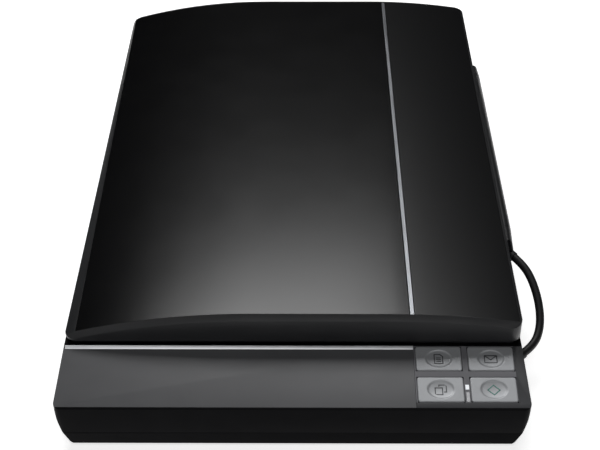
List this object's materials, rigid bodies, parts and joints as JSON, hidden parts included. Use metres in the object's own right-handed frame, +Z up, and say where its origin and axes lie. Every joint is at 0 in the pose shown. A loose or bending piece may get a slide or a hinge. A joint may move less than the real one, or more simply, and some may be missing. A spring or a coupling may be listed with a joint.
{
  "type": "flatbed scanner",
  "caption": "Black flatbed photo scanner with a side-hinged film-scanning lid, a sloping control strip with push buttons, and a carriage driven by a belt under glass",
  "frame": {"origin": "on the desk, under the middle of the base", "axes": "+X to the right, +Y to the back along the object's length, +Z up; the front strip with the buttons faces -Y and the lid's hinge runs along the +X side"},
  "size_m": [0.2996, 0.43, 0.067],
  "materials": {
    "housing_black": "fine satin texture",
    "panel_grey": "satin",
    "bezel_grey": "satin",
    "button_silver": "silver satin lacquer",
    "chrome_trim": "bright",
    "led_lens": "clear milky",
    "glass": "polished",
    "reference_white": "matte",
    "board_green": "solder mask",
    "socket_black": "matte",
    "socket_metal": "plated",
    "rubber_black": "matte",
    "steel": "plain",
    "zinc_plate": "zinc plated",
    "gear_white": "moulded",
    "belt_black": "ribbed",
    "flex_white": "flat cable",
    "carriage_black": "matte",
    "bronze": "sintered",
    "mirror_glass": "front silvered",
    "clear_plastic": "clear acrylic",
    "lid_frame_grey": "satin",
    "lid_gloss_black": "piano black",
    "lid_silver": "satin",
    "lid_satin_black": "fine texture",
    "cover_black": "matte",
    "diffuser_white": "milky",
    "mat_white": "matte",
    "cable_black": "satin"
  },
  "bodies": {
    "base": {"base_lower_housing": "housing_black", "base_upper_housing": "housing_black", "scanner_glass": "glass", "calibration_strip": "reference_white", "front_panel": "panel_grey", "button_bezel": "bezel_grey", "front_chrome_trim": "chrome_trim", "status_led_lens": "led_lens", "led_trim_bar": "chrome_trim", "button_board": "board_green", "main_board": "board_green", "usb_socket": "socket_metal", "dc_inlet": "socket_black", "option_socket": "socket_black", "rubber_feet": "rubber_black", "housing_screws": "steel", "guide_rod": "steel", "guide_rail": "carriage_black", "stepper_motor": "steel", "motor_bracket": "zinc_plate", "belt_tensioner": "gear_white", "tensioner_spring": "steel", "timing_belt": "belt_black", "carriage_flex": "flex_white", "lid_cable": "cable_black", "lid_cable_plug": "cable_black"},
    "transport_lock": {"transport_lock": "gear_white"},
    "carriage": {"carriage_housing": "carriage_black", "rod_bushings": "bronze", "glide_pad": "gear_white", "belt_clip": "zinc_plate", "led_light_bar": "board_green", "light_guides": "clear_plastic", "carriage_mirrors": "mirror_glass", "lens_barrel": "carriage_black", "sensor_board": "board_green"},
    "motor_pinion": {"motor_pinion": "bronze"},
    "drive_gear": {"drive_gear": "gear_white"},
    "idler_pulley": {"idler_pulley": "gear_white"},
    "hinge_carrier": {"hinge_post_front": "housing_black", "hinge_post_rear": "housing_black", "hinge_barrel": "lid_frame_grey", "hinge_pins": "steel", "cable_gland": "cable_black"},
    "lid": {"lid_frame": "lid_frame_grey", "lid_top_panel": "lid_gloss_black", "lid_silver_strip": "lid_silver", "lid_side_panel": "lid_satin_black", "lid_inner_cover": "cover_black", "film_diffuser": "diffuser_white", "film_light_guide": "clear_plastic", "film_led_board": "board_green", "lid_screws": "steel", "lid_pads": "rubber_black"},
    "document_mat": {"mat_backing": "cover_black", "mat_sheet": "mat_white"},
    "button_1": {"button_1": "button_silver"},
    "button_2": {"button_2": "button_silver"},
    "button_3": {"button_3": "button_silver"},
    "button_4": {"button_4": "button_silver"}
  },
  "joints": [
    {"name": "lid_lift", "type": "slide", "parent": "base", "child": "hinge_carrier", "axis": [0, 0, 1], "range_m": [0, 0.018], "deforming": ["lid_cable"]},
    {"name": "lid_swing", "type": "hinge", "parent": "hinge_carrier", "child": "lid", "pos_m": [0.1403, 0, 0.046], "axis": [0, 1, 0], "range_deg": [0, 100]},
    {"name": "mat_slide", "type": "slide", "parent": "lid", "child": "document_mat", "axis": [-1, 0, 0], "range_m": [0, 0.235]},
    {"name": "carriage_slide", "type": "slide", "parent": "base", "child": "carriage", "axis": [0, -1, 0], "range_m": [0, 0.3], "deforming": ["carriage_flex"]},
    {"name": "drive_gear_spin", "type": "hinge", "parent": "base", "child": "drive_gear", "pos_m": [-0.075, -0.189, 0.025], "axis": [0, 0, 1], "continuous": true},
    {"name": "pinion_spin", "type": "hinge", "parent": "base", "child": "motor_pinion", "pos_m": [-0.099, -0.189, 0.025], "axis": [0, 0, 1], "continuous": true},
    {"name": "idler_spin", "type": "hinge", "parent": "base", "child": "idler_pulley", "pos_m": [-0.075, 0.196, 0.0105], "axis": [0, 0, 1], "continuous": true},
    {"name": "lock_slide", "type": "slide", "parent": "base", "child": "transport_lock", "axis": [1, 0, 0], "range_m": [0, 0.008]},
    {"name": "button_1_press", "type": "slide", "parent": "base", "child": "button_1", "axis": [0, 0.2265, -0.974], "range_m": [0, 0.0009], "stiffness_N_per_m": 600},
    {"name": "button_2_press", "type": "slide", "parent": "base", "child": "button_2", "axis": [0, 0.2265, -0.974], "range_m": [0, 0.0009], "stiffness_N_per_m": 600},
    {"name": "button_3_press", "type": "slide", "parent": "base", "child": "button_3", "axis": [0, 0.2265, -0.974], "range_m": [0, 0.0009], "stiffness_N_per_m": 600},
    {"name": "button_4_press", "type": "slide", "parent": "base", "child": "button_4", "axis": [0, 0.2265, -0.974], "range_m": [0, 0.0009], "stiffness_N_per_m": 600}
  ],
  "couplings": [
    {"joint": "drive_gear_spin", "follows": "carriage_slide", "rad_per_m": -178.57},
    {"joint": "pinion_spin", "follows": "carriage_slide", "rad_per_m": 714.29},
    {"joint": "idler_spin", "follows": "carriage_slide", "rad_per_m": -178.57}
  ]
}
